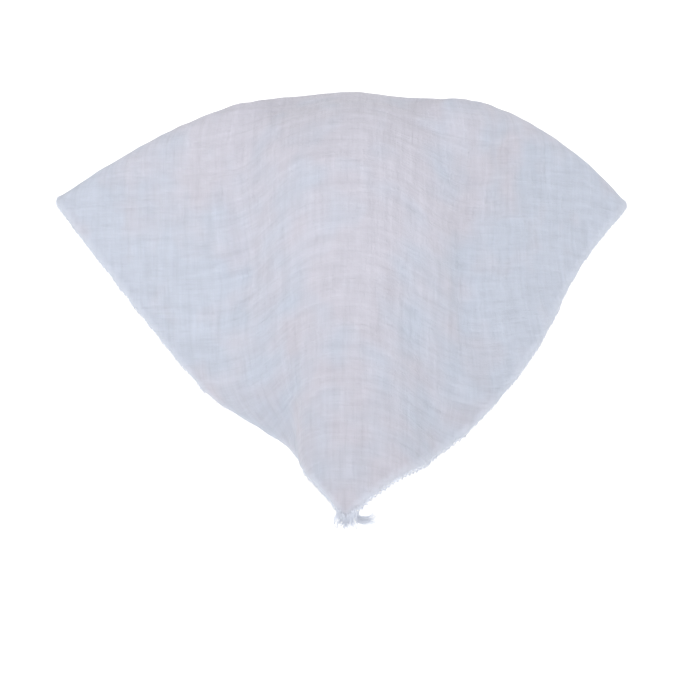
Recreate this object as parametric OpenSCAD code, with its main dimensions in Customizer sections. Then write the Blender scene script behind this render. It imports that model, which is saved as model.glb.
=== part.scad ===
// Triangular arm sling of plain-weave muslin, shown draped over a head with its point hanging in front.
// Flat, it is a right-angled isosceles triangle: the long base edge runs along the weft, the two short
// sides are raw bias cuts, and the right angle is the point. u is measured along the weft from the centre
// line and v along the warp from the base edge. drape(u, v) places that flat spot on the draped surface.
// Frame: +Z up, the front of the drape faces -Y, the origin is the seat of the crown under the cloth.

/* [Cloth] */
// Length of each short side of the flat triangle
leg = 480; // [400:5:580]
// Thickness of the crinkled weave
cloth_t = 0.8; // [0.4:0.1:2]
// Rows of the modelled weave from the base edge to the point
rows = 40; // [20:2:54]

/* [Crown] */
// Reach from the crown forward to the hanging front
crown_reach = 85; // [65:1:105]
// Half width over which the cloth stays round the crown
crown_half_w = 78; // [60:1:95]
// Height of the rounded crown over the hanging front, as a share of its reach
crown_fall = 0.95; // [0.8:0.01:1.1]
// Cloth left behind the crown, up to the base edge
crown_tail = 20; // [4:1:30]
// Sideways lean of the hanging point, less than 0 to the left
point_lean = -4; // [-20:1:20]

/* [Wings] */
// Angle by which the left wing sweeps back from the front
left_sweep = 41; // [30:0.5:55]
// Angle by which the right wing sweeps back from the front
right_sweep = 45.5; // [30:0.5:55]
// Drop of the left wing tip below the crown
left_drop = 67; // [40:1:100]
// Drop of the right wing tip below the crown
right_drop = 72; // [40:1:100]
// How late the left ridge bends down: 1 is straight, 4 is a broad shoulder
left_shoulder = 2; // [1.2:0.1:4]
// How late the right ridge bends down
right_shoulder = 3; // [1.2:0.1:4]
// Radius of the turn where the cloth folds back over the wing ridge
ridge_r = 12; // [6:1:20]

/* [Folded-back ends] */
// Distance along the weft from each corner to the held wing tip
end_tuck = 88; // [60:1:120]
// Turn of the folded-back flap from straight back towards the middle
flap_yaw = 62; // [40:1:75]
// Dip of the folded-back flap
flap_dip = 8; // [0:1:30]
// Turn of the free corner from straight back towards the outside
corner_yaw = 15; // [0:1:30]
// Dip of the free corner
corner_dip = 13; // [0:1:30]

/* [Frayed edges] */
// Diameter of a loose yarn end
yarn_d = 0.45; // [0.3:0.05:0.6]
// Shortest loose yarn end
end_min = 2.2; // [1:0.1:4]
// Longest loose yarn end
end_max = 4.6; // [3:0.1:8]
// Spacing of the loose ends along each raw edge
end_pitch = 7.5; // [5:0.1:12]
// Number of yarns in the tuft at the point
tuft_yarns = 7; // [5:2:7]
// Length of the longest yarn in the tuft
tuft_len = 9; // [5:0.5:14]
// Radius of the curl of the pulled yarn beside the point
curl_r = 4; // [3:0.5:7]

/* [Hidden] */
deep = leg / sqrt(2);
cell = deep / rows;
tip_u = deep - end_tuck;
// Clearance between the cloth's raw edge and the root of each loose yarn
root_gap = 0.5;
// Warp ends lie over weft ends where they cross
layer = (yarn_d + 0.2) / 2;
// Half length of the step used to find slopes of the surface
step = 0.5;
white = [0.82, 0.83, 0.86];
fluff = [0.90, 0.91, 0.93];

function unit(a) = a / norm(a);
function mix(a, b, t) = a * (1 - t) + b * t;
function clamp01(t) = min(max(t, 0), 1);

// Share of the crown's shape at weft distance a: 1 at the centre line, 0 on the wings
function crown_share(a) = exp(-pow(a / crown_half_w, 3));

// Plan of the hanging front: an arc round the face, then a straight wing swept back
function front_turn(a, sweep) = min(a / crown_reach * 180 / PI, sweep);
function front_run(a, sweep) = max(min(a, tip_u) - crown_reach * sweep * PI / 180, 0);
function front_x(a, sweep) =
    crown_reach * sin(front_turn(a, sweep)) + front_run(a, sweep) * cos(sweep);
function front_y(a, sweep) =
    -crown_reach * cos(front_turn(a, sweep)) + front_run(a, sweep) * sin(sweep);

// Plan of the ridge: straight across the crown, then just inside the wing
function ridge_x(a, sweep) =
    mix(front_x(a, sweep) - ridge_r * sin(front_turn(a, sweep)), a, crown_share(a));
function ridge_y(a, sweep) =
    mix(front_y(a, sweep) + ridge_r * cos(front_turn(a, sweep)), 0, crown_share(a));

// Warp distance from the base edge to the ridge
function ridge_v(a) = mix(crown_tail, end_tuck, pow(min(a / tip_u, 1), 1.7));

// One side of the drape, for a = distance from the centre line along the weft
function half_drape(a, v, sweep, drop, shoulder) =
    let (rx = ridge_x(a, sweep), ry = ridge_y(a, sweep))
    let (gx = front_x(a, sweep), gy = front_y(a, sweep))
    let (rz = -drop * pow(rx / ridge_x(tip_u, sweep), shoulder))
    let (share = crown_share(a))
    let (fall = mix(ridge_r, crown_fall * crown_reach, share))
    let (reach = norm([gx - rx, gy - ry]))
    let (quarter = PI / 2 * sqrt((reach * reach + fall * fall) / 2))
    let (below = max(v - ridge_v(a), 0), behind = max(ridge_v(a) - v, 0), beyond = max(a - tip_u, 0))
    let (turn = 90 * clamp01(below / quarter))
    let (flap = mix([-sin(flap_yaw) * cos(flap_dip), cos(flap_yaw) * cos(flap_dip), -sin(flap_dip)],
                    [0, cos(flap_dip), -sin(flap_dip)], share))
    let (corner = [sin(corner_yaw) * cos(corner_dip), cos(corner_yaw) * cos(corner_dip), -sin(corner_dip)])
    [mix(rx, gx, sin(turn)), mix(ry, gy, sin(turn)),
     rz - fall * (1 - cos(turn)) - max(below - quarter, 0) + cloth_t / 2] + behind * flap + beyond * corner;

// The whole drape: the left side mirrored, the right side, and the lean towards the point
function drape(u, v) =
    let (p = u < 0 ? half_drape(-u, v, left_sweep, left_drop, left_shoulder)
                   : half_drape(u, v, right_sweep, right_drop, right_shoulder))
    [(u < 0 ? -p.x : p.x) + point_lean * pow(v / deep, 2), p.y, p.z];

// Directions of the weft, the warp and the outward normal at a spot of the cloth
function weft_dir(u, v) = unit(drape(u + step, v) - drape(u - step, v));
function warp_dir(u, v) = unit(drape(u, v + step) - drape(u, v - step));
function face_dir(u, v) = unit(cross(warp_dir(u, v), weft_dir(u, v)));

// The sheet: row r holds 2 * (rows - r) + 1 spots, so every row ends on the two bias cuts
function at(r, c) = r * (2 * rows + 2 - r) + c + rows - r;
module cloth_panel() {
    spots = [for (r = [0:rows], c = [r - rows:rows - r]) [c * cell, r * cell]];
    outer = [for (s = spots) drape(s.x, s.y) + face_dir(s.x, s.y) * cloth_t / 2];
    inner = [for (s = spots) drape(s.x, s.y) - face_dir(s.x, s.y) * cloth_t / 2];
    front = [for (r = [0:rows - 1], c = [r + 1 - rows:rows - r - 1])
             each concat([[at(r, c), at(r, c + 1), at(r + 1, c)]],
                         c > r + 1 - rows ? [[at(r, c), at(r + 1, c), at(r + 1, c - 1)]]
                                          : [[at(r, c - 1), at(r, c), at(r + 1, c)]])];
    back = [for (f = front) [f[2], f[1], f[0]] + [1, 1, 1] * len(spots)];
    rim = concat([for (c = [-rows:rows]) at(0, c)],
                 [for (r = [1:rows]) at(r, rows - r)],
                 [for (r = [rows - 1:-1:1]) at(r, r - rows)]);
    edge = [for (i = [0:len(rim) - 1])
            let (a = rim[i], b = rim[(i + 1) % len(rim)], under = len(spots))
            each [[b, a, a + under], [b, a + under, b + under]]];
    color(white) polyhedron(concat(outer, inner), concat(front, back, edge));
}

// A straight piece of yarn from a root along a direction
module yarn(root, dir, length) {
    translate(root) rotate([0, acos(dir.z), atan2(dir.y, dir.x)])
        cylinder(h = length, d = yarn_d, $fn = 16);
}

// Length of the i-th loose end, longer towards the point and never twice the same in a row
function end_len(i, v) = mix(end_min, end_max, v / deep * (0.55 + 0.45 * sin(137.5 * i)));
end_step = end_pitch / sqrt(2);
end_count = floor((deep - tuft_len) / end_step);

// A spot of the sheet, and the row of the cell whose bias side holds warp distance v
function spot(r, c) = drape(c * cell, r * cell);
function rim_row(v) = min(floor(v / cell), rows - 1);
// A place on one raw edge, on the straight side of its cell
function rim_place(side, v) =
    let (r = rim_row(v))
    mix(spot(r, side * (rows - r)), spot(r + 1, side * (rows - r - 1)), v / cell - r);
// Outward weft and warp directions and the outward normal of that cell
function rim_weft(side, v) =
    let (r = rim_row(v))
    unit(spot(r, side * (rows - r)) - spot(r, side * (rows - r - 1)));
function rim_warp(side, v) =
    let (r = rim_row(v))
    unit(spot(r + 1, side * (rows - r - 1)) - spot(r, side * (rows - r - 1)));
function rim_face(side, v) = side * unit(cross(rim_warp(side, v), rim_weft(side, v)));

// Warp ends stand along the warp, out of one raw edge
module warp_ends(side) {
    color(fluff) for (i = [1:end_count]) {
        v = i * end_step;
        dir = rim_warp(side, v);
        yarn(rim_place(side, v) + root_gap * dir + layer * rim_face(side, v), dir, end_len(i, v));
    }
}

// Weft ends stand along the weft, half a pitch away from the warp ends
module weft_ends(side) {
    color(fluff) for (i = [1:end_count]) {
        v = (i - 0.5) * end_step;
        dir = rim_weft(side, v);
        yarn(rim_place(side, v) + root_gap * dir - layer * rim_face(side, v), dir, end_len(i + 3, v));
    }
}

module left_warp_ends() warp_ends(-1);
module left_weft_ends() weft_ends(-1);
module right_warp_ends() warp_ends(1);
module right_weft_ends() weft_ends(1);

// A fan of yarns under the point, in two layers so that neighbours don't touch
tuft_spread = 60;
tuft_turn = 2 * tuft_spread / (tuft_yarns - 1);
tuft_root = (yarn_d + 0.12) / (2 * sin(tuft_turn));
module point_tuft() {
    color(fluff) for (i = [0:tuft_yarns - 1]) {
        a = -tuft_spread + i * tuft_turn;
        dir = unit(cos(a) * warp_dir(0, deep) + sin(a) * weft_dir(0, deep));
        root = drape(0, deep) + tuft_root * dir + layer * (i % 2 == 0 ? 1 : -1) * face_dir(0, deep);
        yarn(root, dir, tuft_len * (0.5 + 0.5 * pow(cos(a), 2)));
    }
}

// One yarn pulled out of the right edge beside the point, curling away in front of the loose ends
curl_sweep = 150;
module pulled_yarn() {
    v = deep - tuft_len;
    start = rim_place(1, v) + root_gap * sqrt(2) * rim_weft(1, v) + 3 * layer * rim_face(1, v);
    color(fluff) translate(start + [0, 0, -curl_r]) rotate([90, 0, 0]) rotate([0, 0, 90 - curl_sweep])
        rotate_extrude(angle = curl_sweep, $fn = 48) translate([curl_r, 0]) circle(d = yarn_d, $fn = 16);
}

cloth_panel();
left_warp_ends();
left_weft_ends();
right_warp_ends();
right_weft_ends();
point_tuft();
pulled_yarn();
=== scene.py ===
"""A triangular arm sling of crinkled muslin, laid over a head with its point hanging in front.

The cloth starts on a closed-form drape, is settled by a small cloth simulation, and then gets its crinkles
and its frayed cut edges. Lengths are in metres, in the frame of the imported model.
"""

import math

import bpy
import numpy as np
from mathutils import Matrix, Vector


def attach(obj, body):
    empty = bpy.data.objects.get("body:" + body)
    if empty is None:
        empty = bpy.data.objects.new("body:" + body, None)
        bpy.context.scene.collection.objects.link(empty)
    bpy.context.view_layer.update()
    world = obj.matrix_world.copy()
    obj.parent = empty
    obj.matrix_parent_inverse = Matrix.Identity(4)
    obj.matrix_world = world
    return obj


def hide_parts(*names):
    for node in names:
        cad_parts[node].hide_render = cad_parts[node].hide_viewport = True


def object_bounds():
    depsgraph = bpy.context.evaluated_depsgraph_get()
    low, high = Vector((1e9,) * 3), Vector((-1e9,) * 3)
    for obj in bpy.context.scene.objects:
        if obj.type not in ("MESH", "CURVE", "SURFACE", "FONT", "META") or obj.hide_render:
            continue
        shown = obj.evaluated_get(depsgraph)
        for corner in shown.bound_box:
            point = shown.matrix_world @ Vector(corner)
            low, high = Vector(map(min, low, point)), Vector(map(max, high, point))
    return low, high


bl_info = {
    "name": "Arm Sling",
    "version": (1, 0, 0),
    "blender": (4, 5, 0),
    "location": "View3D > Sidebar > Arm Sling",
    "description": "Builds a draped triangular muslin arm sling with frayed edges",
    "category": "Add Mesh",
}

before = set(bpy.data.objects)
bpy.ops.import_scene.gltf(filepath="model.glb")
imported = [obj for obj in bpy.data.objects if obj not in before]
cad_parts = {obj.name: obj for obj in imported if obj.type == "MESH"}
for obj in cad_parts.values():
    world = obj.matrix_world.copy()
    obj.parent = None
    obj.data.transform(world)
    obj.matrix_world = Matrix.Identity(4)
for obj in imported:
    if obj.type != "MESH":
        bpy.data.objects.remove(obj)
cad_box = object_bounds()
settled = {}
finishes = {}


# ---------------------------------------------------------------- sizes and colours


class SlingDrape(bpy.types.PropertyGroup):
    """How the cut is sized and how it lies over the head."""

    leg: bpy.props.FloatProperty(
        name="Leg", description="Length of each of the two cut edges", default=0.480, unit="LENGTH"
    )
    rows: bpy.props.IntProperty(
        name="Rows", description="Rows of mesh cells from the long edge to the point", default=208
    )
    coarse: bpy.props.IntProperty(
        name="Coarseness", description="Mesh cells to one cell of the simulated cloth", default=4
    )
    thickness: bpy.props.FloatProperty(
        name="Thickness", description="Thickness of the crinkled cloth", default=0.0006, unit="LENGTH"
    )
    crown_reach: bpy.props.FloatProperty(
        name="Crown reach", description="Depth from the crown to the front", default=0.085, unit="LENGTH"
    )
    crown_half: bpy.props.FloatProperty(
        name="Crown half width", description="Half width of the flat top", default=0.078, unit="LENGTH"
    )
    crown_fall: bpy.props.FloatProperty(
        name="Crown fall", description="Fall of the round front, as a share of the reach", default=0.95
    )
    crown_tail: bpy.props.FloatProperty(
        name="Crown tail", description="Cloth behind the crown", default=0.020, unit="LENGTH"
    )
    point_lean: bpy.props.FloatProperty(
        name="Point lean", description="Shift of the point to the right", default=-0.004, unit="LENGTH"
    )
    sweep_left: bpy.props.FloatProperty(
        name="Left sweep", description="Turn of the left wing towards the back", default=41, min=0, max=80
    )
    sweep_right: bpy.props.FloatProperty(
        name="Right sweep", description="Turn of the right wing towards the back", default=45.5, min=0, max=80
    )
    drop_left: bpy.props.FloatProperty(
        name="Left drop", description="Height from the crown to the left tip", default=0.067, unit="LENGTH"
    )
    drop_right: bpy.props.FloatProperty(
        name="Right drop", description="Height from the crown to the right tip", default=0.072, unit="LENGTH"
    )
    shoulder_left: bpy.props.FloatProperty(
        name="Left shoulder", description="Roundness of the left top line", default=2.0
    )
    shoulder_right: bpy.props.FloatProperty(
        name="Right shoulder", description="Roundness of the right top line", default=3.0
    )
    ridge: bpy.props.FloatProperty(
        name="Ridge", description="Radius of the fold along a wing", default=0.012, unit="LENGTH"
    )
    tuck: bpy.props.FloatProperty(
        name="Tuck", description="Length of a corner behind its tip", default=0.088, unit="LENGTH"
    )
    flap_yaw: bpy.props.FloatProperty(
        name="Flap yaw", description="Turn of the flap behind a wing", default=62
    )
    flap_dip: bpy.props.FloatProperty(name="Flap dip", description="Fall of that flap", default=8)
    corner_yaw: bpy.props.FloatProperty(name="Corner yaw", description="Outward turn of a corner", default=15)
    corner_dip: bpy.props.FloatProperty(name="Corner dip", description="Fall of a corner", default=13)
    curl_left: bpy.props.FloatProperty(
        name="Left curl", description="How far the left cut turns back beside the jaw", default=0.85
    )
    curl_right: bpy.props.FloatProperty(
        name="Right curl", description="How far the right cut turns back beside the jaw", default=0.15
    )
    nip: bpy.props.FloatProperty(
        name="Nip", description="How far the left cut draws in beside the jaw", default=0.014, unit="LENGTH"
    )
    belly: bpy.props.FloatProperty(
        name="Belly", description="How far the right cut swings out", default=0.018, unit="LENGTH"
    )
    give: bpy.props.FloatProperty(
        name="Give", description="Most that the simulation may move the cloth", default=0.006, unit="LENGTH"
    )
    crown_lean: bpy.props.FloatProperty(
        name="Crown lean", description="Fall of the crown's right side", default=0.0035, unit="LENGTH"
    )


class SlingFray(bpy.types.PropertyGroup):
    """The loose yarns along the two cut edges."""

    yarn: bpy.props.FloatProperty(
        name="Yarn", description="Diameter of one yarn", default=0.00042, unit="LENGTH", precision=5
    )
    pitch: bpy.props.FloatProperty(
        name="Pitch", description="Distance between yarn ends along a cut", default=0.0009, unit="LENGTH"
    )
    short: bpy.props.FloatProperty(
        name="Short end", description="Length of an end near a corner", default=0.0013, unit="LENGTH"
    )
    long_left: bpy.props.FloatProperty(
        name="Left long end", description="Length of a left end by the point", default=0.0050, unit="LENGTH"
    )
    long_right: bpy.props.FloatProperty(
        name="Right long end", description="Length of a right end by the point", default=0.0033, unit="LENGTH"
    )
    tuft: bpy.props.FloatProperty(
        name="Tuft", description="Length of the yarns below the point", default=0.0042, unit="LENGTH"
    )
    fan: bpy.props.FloatProperty(
        name="Fan", description="Half width of the tuft at the point", default=0.0085, unit="LENGTH"
    )
    clump: bpy.props.FloatProperty(
        name="Clump", description="Distance between clumps of ends", default=0.0040, unit="LENGTH"
    )
    curl: bpy.props.FloatProperty(
        name="Curl", description="Radius of the pulled yarn's hook", default=0.0050, unit="LENGTH"
    )


class SlingFinish(bpy.types.PropertyGroup):
    """Colours of the cloth, the yarns and the studio."""

    cloth: bpy.props.FloatVectorProperty(
        name="Cloth", description="Main colour of the muslin", subtype="COLOR", default=(0.565, 0.582, 0.672)
    )
    cool: bpy.props.FloatVectorProperty(
        name="Cool tint", description="Bluish patches", subtype="COLOR", default=(0.530, 0.585, 0.690)
    )
    # The warm tint also carries the painted show-through of the head in the middle of the cloth
    warm: bpy.props.FloatVectorProperty(
        name="Warm tint", description="Pinkish patches", subtype="COLOR", default=(0.602, 0.576, 0.645)
    )
    edge: bpy.props.FloatVectorProperty(
        name="Edge", description="Loosened band at the cuts", subtype="COLOR", default=(0.70, 0.74, 0.84)
    )
    yarn: bpy.props.FloatVectorProperty(
        name="Yarn", description="Colour of the loose yarns", subtype="COLOR", default=(0.84, 0.88, 0.98)
    )
    floor: bpy.props.FloatVectorProperty(
        name="Floor", description="Colour of the studio floor", subtype="COLOR", default=(0.97, 0.97, 0.97)
    )


# ---------------------------------------------------------------- the drape

# How fast the ridge draws away from the long edge
RIDGE_POWER = 1.7
# Where down the cloth the turn beside the jaw starts, and over how much cloth it grows
JAW_START, JAW_RUN = 0.214, 0.05
# How much tighter the arc is there, and how many degrees further the wing turns
JAW_TIGHTER, JAW_TURN = 1.4, 38
# Middle and half width, down the cloth, of the stretch of cut that swings in on the left and out on the right
NIP_PLACE = (0.266, 0.058)
BELLY_PLACE = (0.206, 0.056)
# Middle and half width, along the long edge, of the crown's low side
LEAN_PLACE = (0.055, 0.040)


def smooth(x):
    """0 below 0, 1 above 1, and 3x^2 - 2x^3 between."""
    x = np.clip(x, 0, 1)
    return x * x * (3 - 2 * x)


def ridge_v(a, size):
    """Distance from the long edge to the ridge: a power curve from the crown tail to the tuck."""
    tip = height(size) - size.tuck
    return size.crown_tail + (size.tuck - size.crown_tail) * np.minimum(a / tip, 1) ** RIDGE_POWER


def height(size):
    """Height of the right-angled triangle over its long edge."""
    return size.leg / math.sqrt(2)


def heading(yaw, dip):
    """Unit vector that turns yaw degrees off +Y towards +X and falls dip degrees."""
    yaw, dip = math.radians(yaw), math.radians(dip)
    return np.array([math.sin(yaw) * math.cos(dip), math.cos(yaw) * math.cos(dip), -math.sin(dip)])


def plan(a, tip, radius, sweep):
    """Plan of the hanging cloth from its middle: an arc until it has turned by sweep, then a straight
    wing."""
    turn = np.minimum(a / radius, sweep)
    run = np.maximum(np.minimum(a, tip) - radius * sweep, 0)
    return radius * np.sin(turn) + run * np.cos(sweep), -radius * np.cos(turn) + run * np.sin(sweep), turn


def half_drape(a, v, size, sweep, drop, shoulder, curl):
    """One half, a from the centre line and v down from the long edge.

    The plan of the hanging cloth is an arc round the face and then a straight wing. The ridge lies behind
    it, the cloth rolls from the ridge to the plan in a quarter ellipse and hangs straight below that. Cloth
    above the ridge runs back as a flap, and cloth beyond the tip as a corner. Beside the jaw nothing holds
    the cloth out, so there the arc is tighter and the wing turns further back.
    """
    sweep = math.radians(sweep)
    reach, tip = size.crown_reach, height(size) - size.tuck
    plan_x, plan_y, turn = plan(a, tip, reach, sweep)
    jaw = curl * smooth((v - JAW_START) / JAW_RUN)
    tight = reach / (1 + JAW_TIGHTER * jaw)
    low_x, low_y, _ = plan(a, tip, tight, sweep + math.radians(JAW_TURN) * jaw)
    arc = reach * sweep
    crown = np.exp(-((a / size.crown_half) ** 3))
    ridge_x = (plan_x - size.ridge * np.sin(turn)) * (1 - crown) + a * crown
    ridge_y = (plan_y + size.ridge * np.cos(turn)) * (1 - crown)
    tip_x = reach * math.sin(sweep) + (tip - arc) * math.cos(sweep) - size.ridge * math.sin(sweep)
    ridge_z = -drop * (ridge_x / tip_x) ** shoulder
    fall = size.ridge * (1 - crown) + size.crown_fall * reach * crown
    out = np.hypot(plan_x - ridge_x, plan_y - ridge_y)
    quarter = math.pi / 2 * np.sqrt((out**2 + fall**2) / 2)
    ridge = ridge_v(a, size)
    below, behind = np.maximum(v - ridge, 0), np.maximum(ridge - v, 0)
    beyond = np.maximum(a - tip, 0)
    roll = np.clip(below / quarter, 0, 1) * math.pi / 2
    flap = heading(-size.flap_yaw, size.flap_dip)
    back_x = flap[0] * (1 - crown)
    back_y = flap[1] * (1 - crown) + math.cos(math.radians(size.flap_dip)) * crown
    corner = heading(size.corner_yaw, size.corner_dip)
    x = ridge_x + (plan_x - ridge_x) * np.sin(roll) + behind * back_x + beyond * corner[0] + low_x - plan_x
    y = ridge_y + (plan_y - ridge_y) * np.sin(roll) + behind * back_y + beyond * corner[1]
    y = y + low_y - plan_y - reach + tight
    hang = np.maximum(below - quarter, 0)
    z = ridge_z - fall * (1 - np.cos(roll)) - hang + behind * flap[2] + beyond * corner[2]
    return x, y, z


def bump(x, middle, half):
    """1 at the middle and falling off on both sides as a bell curve of that half width."""
    return np.exp(-(((x - middle) / half) ** 2))


def drape(u, v, size):
    """The whole drape, u along the long edge from its middle. The right half is not quite the left's mirror:
    the left cut draws in beside the jaw, the right one swings out above it, and the crown is lower on the
    right."""
    a = np.abs(u)
    left = half_drape(a, v, size, size.sweep_left, size.drop_left, size.shoulder_left, size.curl_left)
    right = half_drape(a, v, size, size.sweep_right, size.drop_right, size.shoulder_right, size.curl_right)
    outward = (a / np.maximum(height(size) - v, 0.001)) ** 2
    swing = np.where(u < 0, size.nip * bump(v, *NIP_PLACE), size.belly * bump(v, *BELLY_PLACE)) * outward
    x = np.where(u < 0, -left[0], right[0]) + size.point_lean * (v / height(size)) ** 2 + swing
    z = np.where(u < 0, left[2], right[2]) - size.crown_lean * bump(u, *LEAN_PLACE)
    return np.stack([x, np.where(u < 0, left[1], right[1]), z], axis=1)


# ---------------------------------------------------------------- the grid of the triangle


class Cut:
    """The triangle as a grid whose rows shorten by one cell at each end, so that its cut edges are the 45
    degree bias. index[r, c + rows] is a point's number, or -1 outside the cloth."""

    def __init__(self, rows, size):
        self.rows = rows
        self.cell = height(size) / rows
        r, c = np.meshgrid(np.arange(rows + 1), np.arange(-rows, rows + 1), indexing="ij")
        inside = np.abs(c) <= rows - r
        self.index = np.where(inside, np.cumsum(inside).reshape(inside.shape) - 1, -1)
        self.r, self.c = r[inside], c[inside]
        self.u, self.v = self.c * self.cell, self.r * self.cell

    def pairs(self, down, along):
        """Pairs of points so many cells apart, in two groups in which no point occurs twice."""
        i, n = self.index, self.index.shape
        first = i[: n[0] - down, max(0, -along) : n[1] - max(0, along)]
        second = i[down:, max(0, along) : n[1] + min(0, along)]
        r, c = np.meshgrid(*map(np.arange, first.shape), indexing="ij")
        both = (first >= 0) & (second >= 0)
        key = (r // down if down else c // abs(along)) % 2
        return [(first[both & (key == k)], second[both & (key == k)]) for k in (0, 1)]

    def beside(self, down, along):
        """Each point's neighbour, or the point itself at an edge."""
        r, c = self.r + down, self.c + along
        safe = (r >= 0) & (r <= self.rows) & (np.abs(c) <= self.rows - r)
        found = self.index[np.where(safe, r, self.r), np.where(safe, c, self.c) + self.rows]
        return np.where(safe, found, self.index[self.r, self.c + self.rows])

    def normals(self, points):
        """Outward unit normals: the cross product of the run along the warp and the run along the weft."""
        weft = points[self.beside(0, 1)] - points[self.beside(0, -1)]
        warp = points[self.beside(1, 0)] - points[self.beside(-1, 0)]
        cross = np.cross(warp, weft)
        return cross / np.maximum(np.linalg.norm(cross, axis=1, keepdims=True), 1e-12)

    def faces(self):
        """Corner numbers of the squares, and of the half squares along both cut edges."""
        near, far = slice(0, -1), slice(1, None)
        a, b, c, d = (self.index[s, t] for s in (near, far) for t in (near, far))
        full = (a >= 0) & (b >= 0) & (c >= 0) & (d >= 0)
        left = (a >= 0) & (b >= 0) & (c < 0) & (d >= 0)
        right = (a >= 0) & (b >= 0) & (c >= 0) & (d < 0)
        squares = np.stack([a[full], c[full], d[full], b[full]], axis=1)
        left_halves = np.stack([a[left], d[left], b[left]], axis=1)
        right_halves = np.stack([a[right], c[right], b[right]], axis=1)
        return squares, np.concatenate([left_halves, right_halves])

    def finer(self, field, cut):
        """A field on this grid carried to the points of a finer one: each point's value is the bilinear mean
        of the four around it, and points outside the cloth take the value of the nearest one in their row."""
        full = field[self.index[self.r, self.c + self.rows]]
        rows = np.arange(self.rows + 1)[:, None]
        reach = self.rows - rows
        cols = np.clip(np.arange(-self.rows, self.rows + 1)[None, :], -reach, reach)
        table = full[self.index[rows, cols + self.rows]]
        r, c = cut.v / self.cell, cut.u / self.cell + self.rows
        r0, c0 = np.minimum(r.astype(int), self.rows - 1), np.minimum(c.astype(int), 2 * self.rows - 1)
        fr, fc = (r - r0)[:, None], (c - c0)[:, None]
        top = table[r0, c0] * (1 - fc) + table[r0, c0 + 1] * fc
        low = table[r0 + 1, c0] * (1 - fc) + table[r0 + 1, c0 + 1] * fc
        return top * (1 - fr) + low * fr

    def softened(self, field, passes):
        """The field after some passes of averaging with its four neighbours."""
        around = [self.beside(*step) for step in ((0, 1), (0, -1), (1, 0), (-1, 0))]
        for _ in range(passes):
            field = field * 0.5 + sum(field[k] for k in around) * 0.125
        return field


# ---------------------------------------------------------------- cloth simulation

# Centre and half axes of the two ellipsoids that stand in for the head: the skull, and the jaw below it
FORM = (
    ((0.002, 0.000, -0.086), (0.080, 0.086, 0.085)),
    ((0.002, -0.012, -0.150), (0.072, 0.072, 0.090)),
)

# Bonds between points: cells down, cells along, and the share of an error that one pull takes out
BONDS = ((0, 1, 1.0), (1, 0, 1.0), (1, 1, 0.12), (1, -1, 0.12), (0, 4, 0.05), (4, 0, 0.05))
# Bonds this many cells long only push, which keeps the cloth from folding sharply
LONG_BOND = 4


def push_out(points, gap):
    """Points inside an ellipsoid of the form go to its surface along the gradient. Returns which were
    inside."""
    touched = np.zeros(len(points), bool)
    for centre, axes in FORM:
        axes = np.array(axes) + gap
        off = points - np.array(centre)
        depth = np.sqrt(((off / axes) ** 2).sum(1))
        inside = depth < 1
        slope = off[inside] / axes**2
        steep = np.linalg.norm(slope, axis=1, keepdims=True)
        share = depth[inside, None]
        points[inside] += slope / steep**2 * share * (1 - share)
        touched |= inside
    return touched


def settle(
    cut, points, held, slack=0.5, steps=700, gravity=1.6, step=1 / 600, drag=0.03, grip=0.3, gap=0.001
):
    """Position-based cloth: each step adds gravity, then pulls every pair of neighbours back to its length
    in the flat cut, mixed by slack with its length on the drape, keeps the cloth off the form, and reads the
    speed off what moved. Held points stay."""
    bonds = []
    for down, along, pull in BONDS:
        for one, two in cut.pairs(down, along):
            flat = cut.cell * math.hypot(down, along)
            rest = flat * (1 - slack) + np.linalg.norm(points[one] - points[two], axis=1) * slack
            give = np.where(held[one], 0.0, 1.0), np.where(held[two], 0.0, 1.0)
            share = pull / np.maximum(give[0] + give[1], 1e-9)
            long = down + abs(along) >= LONG_BOND
            bonds.append((one, two, rest, share * give[0], share * give[1], long))
    points, speed, free = points.copy(), np.zeros_like(points), ~held[:, None]
    for _ in range(steps):
        before = points.copy()
        speed[:, 2] -= gravity * step
        speed *= 1 - drag
        points += speed * step * free
        for one, two, rest, share_one, share_two, long in bonds:
            apart = points[two] - points[one]
            length = np.sqrt((apart**2).sum(1))
            wrong = length - rest
            if long:
                wrong = np.minimum(wrong, 0)
            pull = (wrong / np.maximum(length, 1e-9))[:, None] * apart
            points[one] += pull * share_one[:, None]
            points[two] -= pull * share_two[:, None]
        touched = push_out(points, gap) & ~held
        points[held] = before[held]
        points[touched] += (before[touched] - points[touched]) * grip
        speed = (points - before) / step
    return points


# ---------------------------------------------------------------- relief of the cloth


# Cells across the lattice before its values repeat, and how far into it the cloth's corner lies
LATTICE, LATTICE_START = 256, 64


def lattice(u, v, cell_u, cell_v, seed):
    """Smooth noise from -1 to 1: seeded random values on a lattice, joined by smoothed bilinear weights."""
    values = np.random.default_rng(seed).uniform(-1, 1, (LATTICE, LATTICE))
    x, y = u / cell_u + LATTICE_START, v / cell_v + LATTICE_START
    i, j = np.floor(x).astype(int), np.floor(y).astype(int)
    fx, fy = smooth(x - i), smooth(y - j)
    i0, j0, i1, j1 = i % LATTICE, j % LATTICE, (i + 1) % LATTICE, (j + 1) % LATTICE
    top = values[i0, j0] * (1 - fx) + values[i1, j0] * fx
    low = values[i0, j1] * (1 - fx) + values[i1, j1] * fx
    return top * (1 - fy) + low * fy


# Soft folds: middle in u, drift in u for each metre of v, half width, height, and where in v they fade in
# and out
FOLDS = (
    (-0.036, 0.02, 0.016, 0.0022, 0.060, 0.300),
    (-0.076, 0.00, 0.012, -0.0042, 0.040, 0.190),
    (-0.150, 0.10, 0.020, 0.0020, 0.110, 0.230),
    (0.060, 0.05, 0.022, 0.0016, 0.080, 0.260),
    (0.084, 0.00, 0.014, -0.0042, 0.055, 0.230),
    (0.145, -0.06, 0.022, 0.0022, 0.100, 0.230),
)
FOLD_FADE = 0.05
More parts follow.
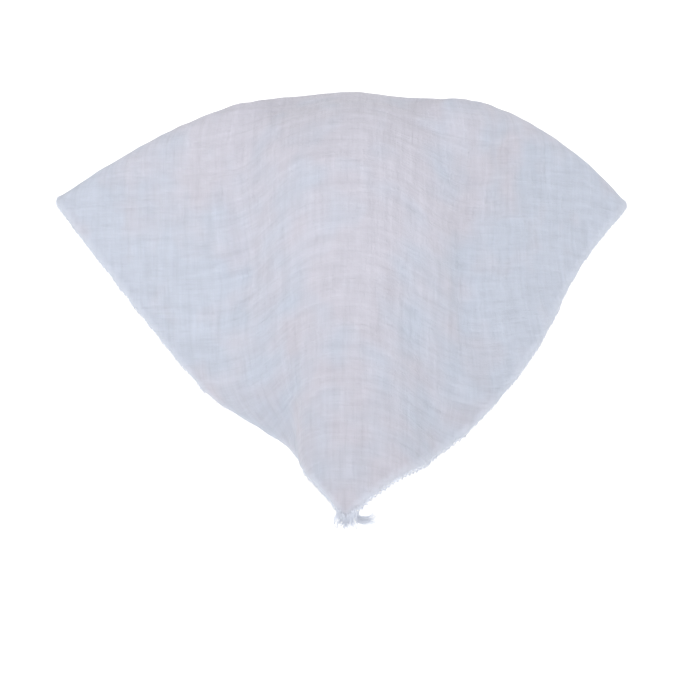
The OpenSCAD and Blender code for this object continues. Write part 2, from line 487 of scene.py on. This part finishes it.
# Crinkles: height, extra height on the flanks, cell along the weft, cell along the warp, and seed
CRINKLES = (
    (0.00050, 0.00060, 0.030, 0.0056, 3),
    (0.00042, 0.0, 0.0062, 0.034, 5),
    (0.00022, 0.0, 0.011, 0.0036, 7),
    (0.0015, 0.0, 0.048, 0.040, 11),
)
# Middle and half width of the flanks, along the weft and down the cloth
FLANK_ALONG = (0.080, 0.034)
FLANK_DOWN = (0.110, 0.075)
# Shares of the relief that the ridge keeps and that come back below it, and over how much cloth
RIDGE_KEEPS, RIDGE_GIVES, RIDGE_FADE = 0.35, 0.65, 0.03
# The relief fades out this near a cut
EDGE_FADE = 0.012
# Height, distance from the cut and half width of the rolled crest, and the same of the dip at the cut
CREST, CREST_PLACE = 0.0009, (0.0035, 0.0022)
DIP, DIP_PLACE = 0.0005, (0.0, 0.0018)
# Height, place, cell along the cut and seed of its ripple
RIPPLE, RIPPLE_PLACE, RIPPLE_CELL, RIPPLE_SEED = 0.0008, (0.0, 0.006), 0.007, 13


def relief(u, v, size):
    """How far each point stands off the settled cloth: a few long soft folds, rows of crinkles that run
    along the weft and the warp, and the crest, dip and ripple of the cut edges."""
    tall = height(size)
    out = np.zeros_like(u)
    for middle, drift, half, high, start, end in FOLDS:
        across = (u - middle - drift * v) / half
        fade = smooth((v - start) / FOLD_FADE)
        out += high * np.exp(-(across**2)) * fade * smooth((end - v) / FOLD_FADE)
    flank = bump(np.abs(u), *FLANK_ALONG) * bump(v, *FLANK_DOWN)
    for high, more, cell_u, cell_v, seed in CRINKLES:
        out += (high + more * flank) * lattice(u, v, cell_u, cell_v, seed)
    out *= RIDGE_KEEPS + RIDGE_GIVES * smooth((v - ridge_v(np.abs(u), size)) / RIDGE_FADE)
    edge = (tall - np.abs(u) - v) / math.sqrt(2)
    along = (v - np.abs(u)) / math.sqrt(2)
    out *= smooth(edge / EDGE_FADE)
    out += CREST * bump(edge, *CREST_PLACE) - DIP * bump(edge, *DIP_PLACE)
    wave = lattice(along, np.sign(u), RIPPLE_CELL, 1.0, RIPPLE_SEED)
    return out + RIPPLE * bump(edge, *RIPPLE_PLACE) * wave


# ---------------------------------------------------------------- meshes


def make_mesh(name, points, faces, flat, material):
    """A piece from its points, its groups of faces (one array for each number of corners) and its flat map,
    which holds each point's place in the flat cut, in metres."""
    mesh = bpy.data.meshes.new(name)
    corners = np.concatenate([f.ravel() for f in faces]).astype(np.int32)
    counts = np.concatenate([np.full(len(f), f.shape[1], np.int32) for f in faces])
    starts = np.concatenate([[0], np.cumsum(counts)[:-1]]).astype(np.int32)
    mesh.vertices.add(len(points))
    mesh.vertices.foreach_set("co", points.astype(np.float32).ravel())
    mesh.loops.add(len(corners))
    mesh.loops.foreach_set("vertex_index", corners)
    mesh.polygons.add(len(counts))
    mesh.polygons.foreach_set("loop_start", starts)
    mesh.polygons.foreach_set("use_smooth", np.ones(len(counts), bool))
    mesh.update(calc_edges=True)
    layer = mesh.uv_layers.new(name="flat")
    layer.uv.foreach_set("vector", flat[corners].astype(np.float32).ravel())
    mesh.materials.append(material)
    piece = bpy.data.objects.new(name, mesh)
    bpy.context.scene.collection.objects.link(piece)
    return piece


def unit(vectors):
    """The vectors at length 1."""
    return vectors / np.maximum(np.linalg.norm(vectors, axis=-1, keepdims=True), 1e-12)


# A direction that no yarn runs along, which starts the frame of a tube
OBLIQUE = (0.31, 0.87, 0.38)


def tubes(paths, radii, sides):
    """Tubes along paths (k, m, 3) with radii (k, m). Each ring's frame is the last one's, turned square to
    the path's direction, and both ends are closed."""
    k, m, _ = paths.shape
    ahead = unit(np.gradient(paths, axis=1))
    side = np.zeros_like(ahead)
    first = np.cross(ahead[:, 0], OBLIQUE)
    for ring in range(m):
        first = unit(first - (first * ahead[:, ring]).sum(1, keepdims=True) * ahead[:, ring])
        side[:, ring] = first
    up = np.cross(ahead, side)
    angle = np.arange(sides) * 2 * math.pi / sides
    ring = side[:, :, None] * np.cos(angle)[:, None] + up[:, :, None] * np.sin(angle)[:, None]
    points = paths[:, :, None] + ring * radii[:, :, None, None]
    number = np.arange(k * m * sides).reshape(k, m, sides)
    here, there = number, np.roll(number, -1, axis=2)
    walls = np.stack([here[:, :-1], there[:, :-1], there[:, 1:], here[:, 1:]], axis=-1).reshape(-1, 4)
    caps = np.concatenate([number[:, 0, ::-1], number[:, -1]])
    length = np.cumsum(np.linalg.norm(np.diff(paths, axis=1, prepend=paths[:, :1]), axis=2), axis=1)
    round_share = np.broadcast_to(angle / math.tau, (k, m, sides))
    flat = np.stack([np.broadcast_to(length[:, :, None], (k, m, sides)), round_share], axis=-1)
    return points.reshape(-1, 3), walls, caps, flat.reshape(-1, 2)


def join(parts):
    """Several tube sets as one, with their corner numbers moved on. Faces stay grouped by their corners."""
    points, faces, flat, start = [], {}, [], 0
    for p, walls, caps, f in parts:
        for group in (walls, caps):
            faces.setdefault(group.shape[1], []).append(group + start)
        points.append(p)
        flat.append(f)
        start += len(p)
    return np.concatenate(points), [np.concatenate(faces[k]) for k in sorted(faces)], np.concatenate(flat)


# ---------------------------------------------------------------- materials


class Nodes:
    """Adds nodes to a material one call at a time and links what is passed to them."""

    def __init__(self, name):
        self.material = bpy.data.materials.new(name)
        self.material.use_nodes = True
        self.tree = self.material.node_tree
        self.tree.nodes.clear()

    def add(self, kind, out=0, settings=None, **inputs):
        """A node of that kind. An input is a plain value or another node's output."""
        node = self.tree.nodes.new("ShaderNode" + kind)
        for key, value in (settings or {}).items():
            setattr(node, key, value)
        for key, value in inputs.items():
            name = key.strip("_").replace("_", " ")
            socket = node.inputs[int(name)] if name.isdigit() else node.inputs[name]
            if isinstance(value, bpy.types.NodeSocket):
                self.tree.links.new(value, socket)
            else:
                socket.default_value = value
        return node.outputs[out]

    def maths(self, operation, *values):
        """A Math node on one or more values."""
        inputs = {f"_{i}": value for i, value in enumerate(values)}
        return self.add("Math", settings={"operation": operation}, **inputs)

    def mix(self, factor, first, second, how="MIX"):
        """Two colours mixed."""
        node = self.tree.nodes.new("ShaderNodeMix")
        node.data_type = "RGBA"
        node.blend_type = how
        for socket, value in ((node.inputs[0], factor), (node.inputs[6], first), (node.inputs[7], second)):
            if isinstance(value, bpy.types.NodeSocket):
                self.tree.links.new(value, socket)
            else:
                socket.default_value = value
        return node.outputs[2]

    def spread(self, value, low, high, to_low, to_high):
        """A value's range moved onto another."""
        return self.add("MapRange", Value=value, From_Min=low, From_Max=high, To_Min=to_low, To_Max=to_high)

    def noise(self, vector, scale, detail=2.0, rough=0.5):
        """Fractal noise from about 0 to 1."""
        return self.add("TexNoise", Vector=vector, Scale=scale, Detail=detail, Roughness=rough)

    def stretched(self, vector, along, across):
        """The flat map scaled differently along and across the cloth."""
        return self.add("Mapping", Vector=vector, Scale=(along, across, 1.0))

    def finish(self, colour, rough, **shader):
        """The shader, with plain numbers set on its own sockets."""
        surface = self.add("BsdfPrincipled", Base_Color=colour, Roughness=rough, **shader)
        output = self.tree.nodes.new("ShaderNodeOutputMaterial")
        self.tree.links.new(surface, output.inputs["Surface"])
        return self.material


def rgba(colour):
    """A colour with full alpha."""
    return (*colour, 1.0)


# Distance between threads of the weave, and how far they wander
THREAD_PITCH, THREAD_WANDER = 0.00052, 0.0012
# Noise of the muslin: cells in a metre along the weft and along the warp, fractal detail and roughness
PATTERNS = {
    "wobble": (90, 90, 2.0, 0.5),
    "weft_crinkle": (30, 190, 2.0, 0.5),
    "warp_crinkle": (175, 26, 2.0, 0.5),
    "weft_slub": (34, 460, 3.0, 0.6),
    "warp_slub": (440, 30, 3.0, 0.6),
    "weft_fine": (60, 1400, 2.0, 0.6),
    "warp_fine": (1400, 60, 2.0, 0.6),
    "patches": (38, 38, 1.0, 0.5),
    "broad": (9, 9, 1.0, 0.5),
    "clouds": (55, 80, 4.0, 0.7),
    "ragged": (260, 260, 2.0, 0.5),
}
# How ragged the loosened band's inner side is, and between which distances from the cut it fades
RAGGED, BAND_INNER, BAND_OUTER = 0.006, 0.003, 0.0105


def muslin(size, finish):
    """Crinkled plain-weave cotton: threads at a half-millimetre pitch, slubs along weft and warp, patches of
    cool and warm tint, and a paler loosened band along the cut edges. Painted light is added too: painted
    shade in the crinkle valleys, a painted warm show-through of the head in the middle, and painted shade
    towards the point."""
    n = Nodes("crinkled_muslin")
    flat = n.add("UVMap", settings={"uv_map": "flat"})
    split = n.tree.nodes.new("ShaderNodeSeparateXYZ")
    n.tree.links.new(flat, split.inputs[0])
    u, v = split.outputs[0], split.outputs[1]

    def pattern(name):
        along, across, detail, rough = PATTERNS[name]
        return n.noise(n.stretched(flat, along, across), 1.0, detail, rough)

    shift = n.maths("MULTIPLY", n.maths("SUBTRACT", pattern("wobble"), 0.5), THREAD_WANDER)
    turns = math.pi / THREAD_PITCH
    warp_wave = n.maths("SINE", n.maths("MULTIPLY", n.maths("ADD", u, shift), turns))
    weft_wave = n.maths("SINE", n.maths("MULTIPLY", n.maths("SUBTRACT", v, shift), turns))
    weave = n.maths("MULTIPLY", warp_wave, weft_wave)
    thread = n.maths("MAXIMUM", n.maths("ABSOLUTE", warp_wave), n.maths("ABSOLUTE", weft_wave))
    slubs = n.maths("ADD", pattern("weft_slub"), pattern("warp_slub"))
    fine = n.maths("ADD", pattern("weft_fine"), pattern("warp_fine"))
    streaks = n.maths("ADD", slubs, n.maths("MULTIPLY", fine, 0.6))
    # This crinkle pattern is a real bump below and, in the colour, painted shade in its valleys
    crinkles = n.maths("ADD", pattern("weft_crinkle"), pattern("warp_crinkle"))
    # Painted show-through of the head: the middle of the cloth is warmer, most of all at the crown
    middle = n.maths("MULTIPLY_ADD", n.maths("ABSOLUTE", u), -2.2, n.spread(v, 0.03, 0.14, 0.36, 0.16))
    tint_and_show_through = n.maths("ADD", n.maths("ADD", pattern("patches"), pattern("broad")), middle)
    tint = n.mix(n.spread(tint_and_show_through, 0.8, 1.2, 0, 1), rgba(finish.cool), rgba(finish.warm))
    base = n.mix(0.6, rgba(finish.cloth), tint)
    # Streaks, clouds and threads are lighter and darker tones; the crinkle pattern adds painted shade in its
    # valleys, and painted shade darkens the cloth to its point
    clouds = n.maths("MULTIPLY", pattern("clouds"), 0.9)
    shade = n.maths("ADD", n.maths("MULTIPLY_ADD", crinkles, 1.3, streaks), clouds)
    tone = n.spread(shade, 2.4, 4.2, 0.885, 1.13)
    threads = n.spread(thread, 0.4, 1.0, 0.95, 1.02)
    # Painted shade: the cloth darkens towards its point, where the neck behind would show through
    both = n.maths("MULTIPLY", n.maths("MULTIPLY", tone, threads), n.spread(v, 0.16, 0.30, 1.0, 0.93))
    grey = n.add("CombineColor", Red=both, Green=both, Blue=both)
    shaded = n.mix(1.0, base, grey, "MULTIPLY")
    # The band along the cuts is paler, and its inner side is ragged
    edge = n.maths("SUBTRACT", n.maths("SUBTRACT", height(size), n.maths("ABSOLUTE", u)), v)
    ragged = n.maths("MULTIPLY", n.maths("SUBTRACT", pattern("ragged"), 0.5), RAGGED)
    band = n.spread(n.maths("ADD", edge, ragged), BAND_INNER, BAND_OUTER, 1.0, 0.0)
    colour = n.mix(n.maths("MULTIPLY", band, 0.6), shaded, rgba(finish.edge))
    weave_bump = n.add("Bump", Strength=0.35, Distance=0.00012, Height=n.maths("ADD", weave, thread))
    slub_bump = n.add("Bump", Strength=0.6, Distance=0.0007, Height=streaks, Normal=weave_bump)
    crinkle_bump = n.add("Bump", Strength=0.7, Distance=0.0016, Height=crinkles, Normal=slub_bump)
    return n.finish(
        colour,
        n.spread(streaks, 1.0, 2.2, 0.94, 0.84),
        Normal=crinkle_bump,
        Sheen_Weight=0.25,
        Sheen_Roughness=0.5,
        Specular_IOR_Level=0.2,
    )


# Turns of twist in a metre of yarn, and strands in it
YARN_TWIST, YARN_STRANDS = 1400.0, 2


def loose_yarn(finish):
    """Spun cotton: a twist running round the yarn, soft fuzz and a slow change of tone along it."""
    n = Nodes("spun_yarn")
    flat = n.add("UVMap", settings={"uv_map": "flat"})
    split = n.tree.nodes.new("ShaderNodeSeparateXYZ")
    n.tree.links.new(flat, split.inputs[0])
    turns = n.maths("ADD", n.maths("MULTIPLY", split.outputs[0], YARN_TWIST), split.outputs[1])
    twist = n.maths("SINE", n.maths("MULTIPLY", turns, YARN_STRANDS * math.tau))
    place = n.add("TexCoord", out=3)
    fuzz = n.noise(place, 2600.0, 3.0, 0.7)
    slow = n.noise(place, 160.0, 2.0, 0.6)
    shade = n.maths("ADD", n.maths("MULTIPLY", twist, 0.12), n.maths("ADD", fuzz, slow))
    tone = n.spread(shade, 0.6, 1.4, 0.92, 1.06)
    grey = n.add("CombineColor", Red=tone, Green=tone, Blue=tone)
    colour = n.mix(1.0, rgba(finish.yarn), grey, "MULTIPLY")
    strand_bump = n.add("Bump", Strength=0.2, Distance=0.00005, Height=n.maths("ADD", twist, fuzz))
    return n.finish(
        colour,
        n.spread(fuzz, 0.3, 0.7, 0.82, 0.95),
        Normal=strand_bump,
        Sheen_Weight=0.5,
        Sheen_Roughness=0.5,
        Specular_IOR_Level=0.2,
    )


def material(slot):
    """The finish of a slot, made once."""
    scene = bpy.context.scene
    if slot not in finishes:
        drape, finish = scene.sling_drape, scene.sling_finish
        finishes[slot] = muslin(drape, finish) if slot == "muslin" else loose_yarn(finish)
    return finishes[slot]


# ---------------------------------------------------------------- pieces

# Cloth this far below the ridge is still held on the form
HELD_BELOW = 0.003
# Passes of softening: the carried movement, the points and the normals
SOFTEN_MOVE, SOFTEN_POINTS, SOFTEN_NORMALS = 12, 10, 3


def settled_cloth():
    """The simulated cloth at full fineness: its grid, its points and its outward normals, worked out once."""
    size = bpy.context.scene.sling_drape
    if not settled:
        cut = Cut(size.rows, size)
        coarse = Cut(size.rows // size.coarse, size)
        start = drape(coarse.u, coarse.v, size)
        tip = height(size) - size.tuck
        ridge = ridge_v(np.abs(coarse.u), size)
        held = (coarse.v <= ridge + HELD_BELOW) | (np.abs(coarse.u) >= tip)
        moved = settle(coarse, start, held) - start
        moved = moved / np.sqrt(1 + ((moved / size.give) ** 2).sum(1, keepdims=True))
        points = drape(cut.u, cut.v, size) + cut.softened(coarse.finer(moved, cut), SOFTEN_MOVE)
        points = cut.softened(points, SOFTEN_POINTS)
        normals = cut.softened(cut.normals(points), SOFTEN_NORMALS)
        points = points + unit(normals) * relief(cut.u, cut.v, size)[:, None]
        settled.update(cut=cut, points=points, normals=unit(cut.normals(points)))
    return settled["cut"], settled["points"], settled["normals"]


# Cells over which a thread's direction is read at the cut
THREAD_CELLS = 3


class Edge:
    """A cut edge, from its corner to the point: places, thread directions and normals at any share of it."""

    def __init__(self, side):
        cut, points, normals = settled_cloth()
        r = np.arange(cut.rows + 1)
        c = side * (cut.rows - r)
        here = cut.index[r, c + cut.rows]
        inner = cut.index[r, c - side * np.minimum(THREAD_CELLS, cut.rows - r) + cut.rows]
        above = cut.index[np.maximum(r - THREAD_CELLS, 0), c + cut.rows]
        self.place, self.normal = points[here], normals[here]
        weft, warp = points[here] - points[inner], points[here] - points[above]
        weft[-1] = weft[-2]
        warp[:THREAD_CELLS] = warp[THREAD_CELLS]
        self.weft, self.warp, self.run = unit(weft), unit(warp), unit(np.gradient(self.place, axis=0))
        self.share = r / cut.rows

    def at(self, field, share):
        """That field at shares of the edge, joined linearly."""
        values = getattr(self, field)
        return np.stack([np.interp(share, self.share, values[:, k]) for k in range(3)], axis=1)


# Yarns and then the finer fibres among them. Fringe: how many to a pitch, girth, length, waywardness, and the
# sides and rings of a tube. Tuft: count, girth, waywardness, sides, rings. Pulled: count, girth, rings, sides
FRINGE_LAYERS = ((1.0, 1.0, 1.0, 0.22, 4, 5), (2.4, 0.34, 1.1, 0.6, 3, 5))
TUFT_LAYERS = ((110, 1.0, 0.35, 4, 7), (170, 0.36, 0.8, 3, 6))
PULLED_LAYERS = ((26, 1.0, 14, 4), (90, 0.34, 12, 3))
TUFT_SEED, PULLED_SEED = 41, 43
# How far in front of the cloth a fringe, the tuft and the pulled yarns start
FRINGE_PROUD, TUFT_PROUD, PULLED_PROUD = 0.0004, 0.0006, 0.0008
# Points back from the point at which the pulled yarns leave the right cut
PULLED_ROOT = 6


def yarns(path, girth, width, taper, sides):
    """Closed tubes along paths. A tube's radius falls by taper times the square of the way along it."""
    s = np.linspace(0, 1, path.shape[1])
    radius = bpy.context.scene.sling_fray.yarn / 2 * girth * width[:, None] * (1 - taper * s**2)
    return tubes(path, radius, sides)


def fringe(side, thread, seed):
    """Loose ends of one thread direction along one cut. They gather in clumps: an end leans towards the
    middle of its clump and is longest there. They grow towards the point, sag a little and curl at random,
    and finer fibres stand between them."""
    scene = bpy.context.scene
    size, fray = scene.sling_drape, scene.sling_fray
    edge, random = Edge(side), np.random.default_rng(seed)
    longest = fray.long_left if side < 0 else fray.long_right
    parts = []
    for density, girth, reach, wild, sides, rings in FRINGE_LAYERS:
        count = int(size.leg / fray.pitch * density)
        share = (np.arange(count) + random.uniform(0.1, 0.9, count)) / count
        root, out = edge.at("place", share), unit(edge.at(thread, share))
        face, along = unit(edge.at("normal", share)), unit(edge.at("run", share))
        drift = 0.35 * lattice(share * size.leg, share * 0, 0.02, 1.0, 9 + side)
        place = share * size.leg / fray.clump + drift
        aside = place - np.floor(place) - 0.5
        growth = fray.short + (longest - fray.short) * smooth((share - 0.35) / 0.5)
        peak = 1.0 - 1.1 * np.abs(aside) + 0.3 * lattice(place, place * 0, 1.0, 1.0, 31 + side)
        long = growth * reach * peak * random.uniform(0.7, 1.2, count)
        s = np.linspace(0, 1, rings)[None, :, None]
        lean = (-aside * fray.clump * 0.8)[:, None, None]
        stray = (wild * random.normal(0, 1, count))[:, None, None]
        lift = (wild * random.normal(0, 0.7, count))[:, None, None]
        sag = np.array([0, 0, -1.0]) * random.uniform(0.05, 0.3, count)[:, None, None]
        wave = random.uniform(-0.15, 0.15, count)[:, None, None] * np.sin(s * math.pi * 1.6)
        sway = stray * s**2 * 0.7 + wave
        path = out[:, None] * s + along[:, None] * sway + face[:, None] * (lift * s**2 * 0.6)
        path = (path + sag * s**2) * long[:, None, None] + along[:, None] * lean * smooth(s)
        inside = random.uniform(0.0008, 0.0026, count)[:, None, None]
        path = path + root[:, None] - out[:, None] * inside * (1 - s)
        path = path + face[:, None] * FRINGE_PROUD * (1 - s)
        parts.append(yarns(path, girth, random.uniform(0.7, 1.15, count), 0.45, sides))
    return join(parts)


def tuft():
    """The fan of yarns at the point. They leave the last stretch of both cuts, hang down to nearly one line
    and spread a little, so that the corner looks blunt: a yarn's length is most of its root's height over
    the point, plus a random share of the tuft's length."""
    fray, random = bpy.context.scene.sling_fray, np.random.default_rng(TUFT_SEED)
    left, right = Edge(-1), Edge(1)
    root = left.place[-1]
    down = unit(left.warp[-1] + right.warp[-1])
    face = unit(left.normal[-4] + right.normal[-4])
    across = np.cross(down, face)
    across = across * np.sign(across[0])
    parts = []
    for count, girth, wild, sides, rings in TUFT_LAYERS:
        s = np.linspace(0, 1, rings)[None, :, None]
        aside = random.triangular(-1, 0, 1, count)[:, None]
        up = np.abs(aside) * fray.fan * 0.92 + random.uniform(0.001, 0.005, (count, 1))
        start = root + across * aside * fray.fan - down * up
        clump = 0.65 + 0.35 * np.cos(aside * 11.0)
        below = fray.tuft * clump * random.uniform(0.5, 1.2, (count, 1))
        long = (np.abs(aside) * fray.fan * 0.75 + 0.0012 + below)[:, None]
        fan = (aside * 0.25 + random.normal(0, 0.16, (count, 1)))[:, None]
        curl = random.normal(0, wild, count)[:, None, None]
        lift = random.normal(0.15, wild * 0.4, count)[:, None, None]
        sway = fan * s + curl * 0.35 * s**2 + 0.07 * np.sin(s * 6 + curl * 3)
        path = down * s + across * sway + face * lift * s
        path = start[:, None] + path * long + face * TUFT_PROUD
        parts.append(yarns(path, girth, random.uniform(0.75, 1.1, count), 0.4, sides))
    return join(parts)


def pulled():
    """Yarns pulled out beside the point: they run to the right in a flat arc and hook back up at their ends.
    Each arc has its own radius and turn, so together they fill a soft lobe."""
    fray, random = bpy.context.scene.sling_fray, np.random.default_rng(PULLED_SEED)
    root = Edge(1).place[-PULLED_ROOT]
    right, down, face = np.array([1.0, 0, 0]), np.array([0, 0, -1.0]), np.array([0, -1.0, 0])
    parts = []
    for count, girth, rings, sides in PULLED_LAYERS:
        s = np.linspace(0, 1, rings)[None, :, None]
        turn = s * math.radians(190) * random.uniform(0.6, 1.05, count)[:, None, None]
        r = fray.curl * random.uniform(0.6, 1.2, count)[:, None, None]
        sink = random.uniform(0.0015, 0.0060, count)[:, None, None]
        fall = r * 0.55 * np.sin(turn) + sink * smooth(s * 2.5)
        path = right * r * 1.25 * (1 - np.cos(turn)) + down * fall
        path = path + face * (random.normal(0, 0.0012, count)[:, None, None] * s + PULLED_PROUD)
        path = path + root + right * random.uniform(-0.002, 0.0, count)[:, None, None]
        parts.append(yarns(path, girth, random.uniform(0.9, 1.2, count), 0.3, sides))
    return join(parts)


def add_yarns(name, node, shape):
    """A yarn piece that stands for its CAD node."""
    points, faces, flat = shape
    piece = make_mesh(name, points, faces, flat, material("loose_yarn"))
    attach(piece, "root")
    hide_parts(node)


class ARMSLING_OT_cloth(bpy.types.Operator):
    """Adds the draped muslin triangle"""

    bl_idname = "armsling.cloth"
    bl_label = "Add cloth panel"

    def execute(self, context):
        size = context.scene.sling_drape
        cut, points, _ = settled_cloth()
        flat = np.stack([cut.u, cut.v], axis=1)
        piece = make_mesh("muslin_panel", points, cut.faces(), flat, material("muslin"))
        wall = piece.modifiers.new("thickness", "SOLIDIFY")
        wall.thickness = size.thickness
        wall.offset = 0.0
        wall.use_even_offset = False
        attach(piece, "root")
        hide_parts("cloth_panel")
        return {"FINISHED"}


class ARMSLING_OT_left_fringe(bpy.types.Operator):
    """Adds the loose yarn ends of the left cut"""

    bl_idname = "armsling.left_fringe"
    bl_label = "Add left fringe"

    def execute(self, context):
        add_yarns("frayed_left_warp", "left_warp_ends", fringe(-1, "warp", 21))
        add_yarns("frayed_left_weft", "left_weft_ends", fringe(-1, "weft", 23))
        return {"FINISHED"}


class ARMSLING_OT_right_fringe(bpy.types.Operator):
    """Adds the loose yarn ends of the right cut"""

    bl_idname = "armsling.right_fringe"
    bl_label = "Add right fringe"

    def execute(self, context):
        add_yarns("frayed_right_warp", "right_warp_ends", fringe(1, "warp", 25))
        add_yarns("frayed_right_weft", "right_weft_ends", fringe(1, "weft", 27))
        return {"FINISHED"}


class ARMSLING_OT_point(bpy.types.Operator):
    """Adds the tuft at the point and the yarn pulled out beside it"""

    bl_idname = "armsling.point"
    bl_label = "Add point yarns"

    def execute(self, context):
        add_yarns("frayed_point_tuft", "point_tuft", tuft())
        add_yarns("frayed_pulled_yarn", "pulled_yarn", pulled())
        return {"FINISHED"}


# ---------------------------------------------------------------- studio

# Flat radius of the floor, radius of its upward bend, and its drop below the model
FLOOR_FLAT, FLOOR_BEND, FLOOR_DROP = 7.0, 5.0, 0.25
FLOOR_RINGS, FLOOR_SPOKES = 24, 96
# Lights: name, place, spread in degrees, power and colour
LIGHTS = (
    ("key", (-1.0, -2.2, 2.1), 35, 1.02, (1.0, 0.99, 0.97)),
    ("fill", (2.4, -1.8, 0.6), 60, 0.66, (0.96, 0.98, 1.0)),
    ("back", (0.5, 2.4, 1.6), 120, 0.45, (1.0, 1.0, 1.0)),
)
LIGHT_TARGET = (0.0, 0.0, -0.15)
SKY_POWER = 0.48
LENS, SENSOR = 241.0, 36.0
EYE_PLACE, EYE_TARGET = (0.0, -3.0, -0.165), (0.0, 0.0, -0.165)


def studio_floor(finish):
    """A wide pale floor that curves up far away: it is flat inside a radius and a quarter circle beyond."""
    n = Nodes("studio_floor")
    place = n.add("TexCoord", out=3)
    tone = n.spread(n.noise(place, 3.0), 0, 1, 0.985, 1.0)
    grey = n.add("CombineColor", Red=tone, Green=tone, Blue=tone)
    surface = n.mix(1.0, rgba(finish.floor), grey, "MULTIPLY")
    finished = n.finish(
        surface, 0.9, Specular_IOR_Level=0.1, Emission_Color=(1.0, 1.0, 1.0, 1.0), Emission_Strength=0.22
    )
    bend = np.linspace(0, 1, FLOOR_RINGS)[1:] * math.pi / 2
    radius = np.concatenate([[0.5, FLOOR_FLAT], FLOOR_FLAT + FLOOR_BEND * np.sin(bend)])
    rise = np.concatenate([[0, 0], FLOOR_BEND * (1 - np.cos(bend))])
    angle = np.arange(FLOOR_SPOKES) * math.tau / FLOOR_SPOKES
    low = cad_box[0][2] - FLOOR_DROP
    east, north = radius[:, None] * np.cos(angle), radius[:, None] * np.sin(angle)
    points = np.stack([east, north, np.repeat(rise[:, None] + low, FLOOR_SPOKES, 1)], axis=-1).reshape(-1, 3)
    number = np.arange(len(radius) * FLOOR_SPOKES).reshape(len(radius), FLOOR_SPOKES)
    there = np.roll(number, -1, axis=1)
    walls = np.stack([number[:-1], number[1:], there[1:], there[:-1]], axis=-1).reshape(-1, 4)
    return make_mesh("floor", points, [walls, number[:1]], points[:, :2], finished)


def aim(thing, target):
    """Turns a light or the camera to face a point."""
    way = np.array(target) - np.array(thing.location)
    flat = math.hypot(way[0], way[1])
    rise, heading_angle = math.atan2(way[2], flat), math.atan2(way[1], way[0])
    thing.rotation_euler = (rise + math.pi / 2, 0, heading_angle - math.pi / 2)


def soft_light(name, place, spread, power, colour):
    """A broad far light that is the same everywhere, as wide as spread degrees of the sky."""
    lamp = bpy.data.lights.new(name, "SUN")
    lamp.angle, lamp.energy, lamp.color = math.radians(spread), power, colour
    thing = bpy.data.objects.new(name, lamp)
    bpy.context.scene.collection.objects.link(thing)
    thing.location = place
    aim(thing, LIGHT_TARGET)


class ARMSLING_OT_stage(bpy.types.Operator):
    """Adds the floor, the soft lights and the camera"""

    bl_idname = "armsling.stage"
    bl_label = "Add stage"

    def execute(self, context):
        scene = context.scene
        studio_floor(scene.sling_finish)
        for light in LIGHTS:
            soft_light(*light)
        world = bpy.data.worlds.new("studio")
        world.use_nodes = True
        sky = world.node_tree.nodes["Background"]
        sky.inputs["Color"].default_value = (1.0, 1.0, 1.0, 1.0)
        sky.inputs["Strength"].default_value = SKY_POWER
        scene.world = world
        scene.view_settings.view_transform = "Standard"
        camera = bpy.data.cameras.new("camera")
        camera.lens, camera.sensor_width = LENS, SENSOR
        camera.clip_end = 60.0
        eye = bpy.data.objects.new("camera", camera)
        scene.collection.objects.link(eye)
        eye.location = EYE_PLACE
        aim(eye, EYE_TARGET)
        scene.camera = eye
        return {"FINISHED"}


class ARMSLING_PT_panel(bpy.types.Panel):
    """Lists what the sling is made of"""

    bl_idname = "ARMSLING_PT_panel"
    bl_label = "Arm Sling"
    bl_space_type = "VIEW_3D"
    bl_region_type = "UI"
    bl_category = "Arm Sling"

    def draw(self, context):
        layout, scene = self.layout, context.scene
        for group in (scene.sling_drape, scene.sling_fray, scene.sling_finish):
            box = layout.box()
            for key in group.bl_rna.properties.keys():
                if key not in ("rna_type", "name"):
                    box.prop(group, key)
        for operator in OPERATORS:
            layout.operator(operator.bl_idname)


GROUPS = {"sling_drape": SlingDrape, "sling_fray": SlingFray, "sling_finish": SlingFinish}
OPERATORS = (
    ARMSLING_OT_left_fringe,
    ARMSLING_OT_right_fringe,
    ARMSLING_OT_point,
    ARMSLING_OT_cloth,
    ARMSLING_OT_stage,
)


def register():
    """Registers the classes and hangs their sizes on the scene."""
    for kind in (*GROUPS.values(), *OPERATORS, ARMSLING_PT_panel):
        bpy.utils.register_class(kind)
    for name, kind in GROUPS.items():
        setattr(bpy.types.Scene, name, bpy.props.PointerProperty(type=kind))


def unregister():
    """Takes them off again."""
    for name in GROUPS:
        delattr(bpy.types.Scene, name)
    for kind in reversed((*GROUPS.values(), *OPERATORS, ARMSLING_PT_panel)):
        bpy.utils.unregister_class(kind)


def main():
    """Registers the classes, then builds every piece and the stage."""
    register()
    bpy.ops.armsling.left_fringe()
    bpy.ops.armsling.right_fringe()
    bpy.ops.armsling.point()
    bpy.ops.armsling.cloth()
    bpy.ops.armsling.stage()


if __name__ == "__main__":
    main()
